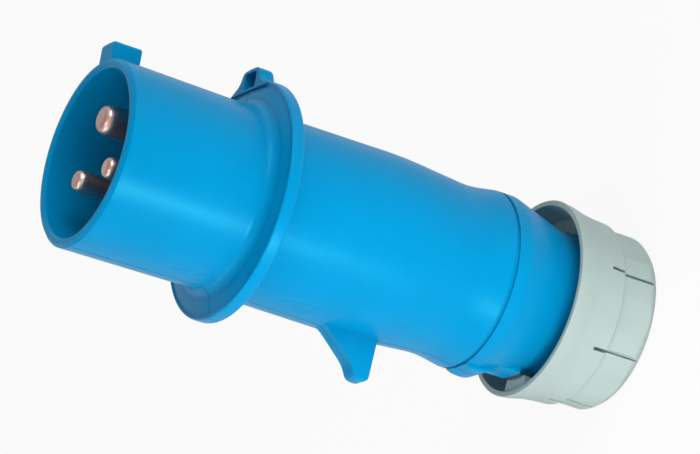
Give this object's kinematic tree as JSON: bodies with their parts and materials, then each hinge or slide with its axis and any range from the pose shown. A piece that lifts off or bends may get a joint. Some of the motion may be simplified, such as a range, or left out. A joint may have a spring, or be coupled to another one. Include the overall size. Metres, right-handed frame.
{
  "type": "industrial pin and sleeve plug",
  "caption": "Round industrial power plug with earth and power pins in a keyed sleeve, a flange, a finned handle and a screwed cable gland.",
  "frame": {"origin": "centre of the cable hole at the gland nut's rear face, on which the plug stands", "axes": "+Z along the plug's axis towards the pins, +Y towards the key, catch lug and earth pin, -Y towards the fin"},
  "size_m": [0.0556, 0.0624, 0.137],
  "materials": {
    "blue_plastic": "moulded polyamide, satin",
    "carrier_plastic": "moulded polyamide, matt",
    "grey_plastic": "moulded polyamide, matt light grey",
    "white_plastic": "moulded polyamide, natural",
    "pin_brass": "turned brass",
    "spring_bronze": "stamped spring bronze",
    "zinc_steel": "zinc-plated steel",
    "black_rubber": "moulded rubber"
  },
  "bodies": {
    "gland": {"gland_nut": "grey_plastic"},
    "gland_ring": {"thrust_ring": "white_plastic"},
    "plug": {"front_housing": "blue_plastic", "body_shell": "blue_plastic", "body_gasket": "black_rubber", "contact_carrier": "carrier_plastic", "earth_pin": "pin_brass", "line_pin": "pin_brass", "neutral_pin": "pin_brass", "earth_screw": "zinc_steel", "line_screw": "zinc_steel", "neutral_screw": "zinc_steel", "earth_wire_guard": "spring_bronze", "line_wire_guard": "spring_bronze", "neutral_wire_guard": "spring_bronze", "terminal_plate": "white_plastic", "plate_screw_left": "zinc_steel", "plate_screw_right": "zinc_steel", "clamp_cage": "white_plastic", "sealing_sleeve": "black_rubber"}
  },
  "joints": [
    {"name": "gland_turn", "type": "hinge", "parent": "gland", "child": "gland_ring", "pos_m": [0, 0, 0], "axis": [0, 0, 1], "range_deg": [0, 1080]},
    {"name": "gland_travel", "type": "slide", "parent": "gland_ring", "child": "plug", "axis": [0, 0, 1], "range_m": [0, 0.006]}
  ],
  "couplings": [
    {"joint": "gland_turn", "follows": "gland_travel", "rad_per_m": 3141.6}
  ]
}
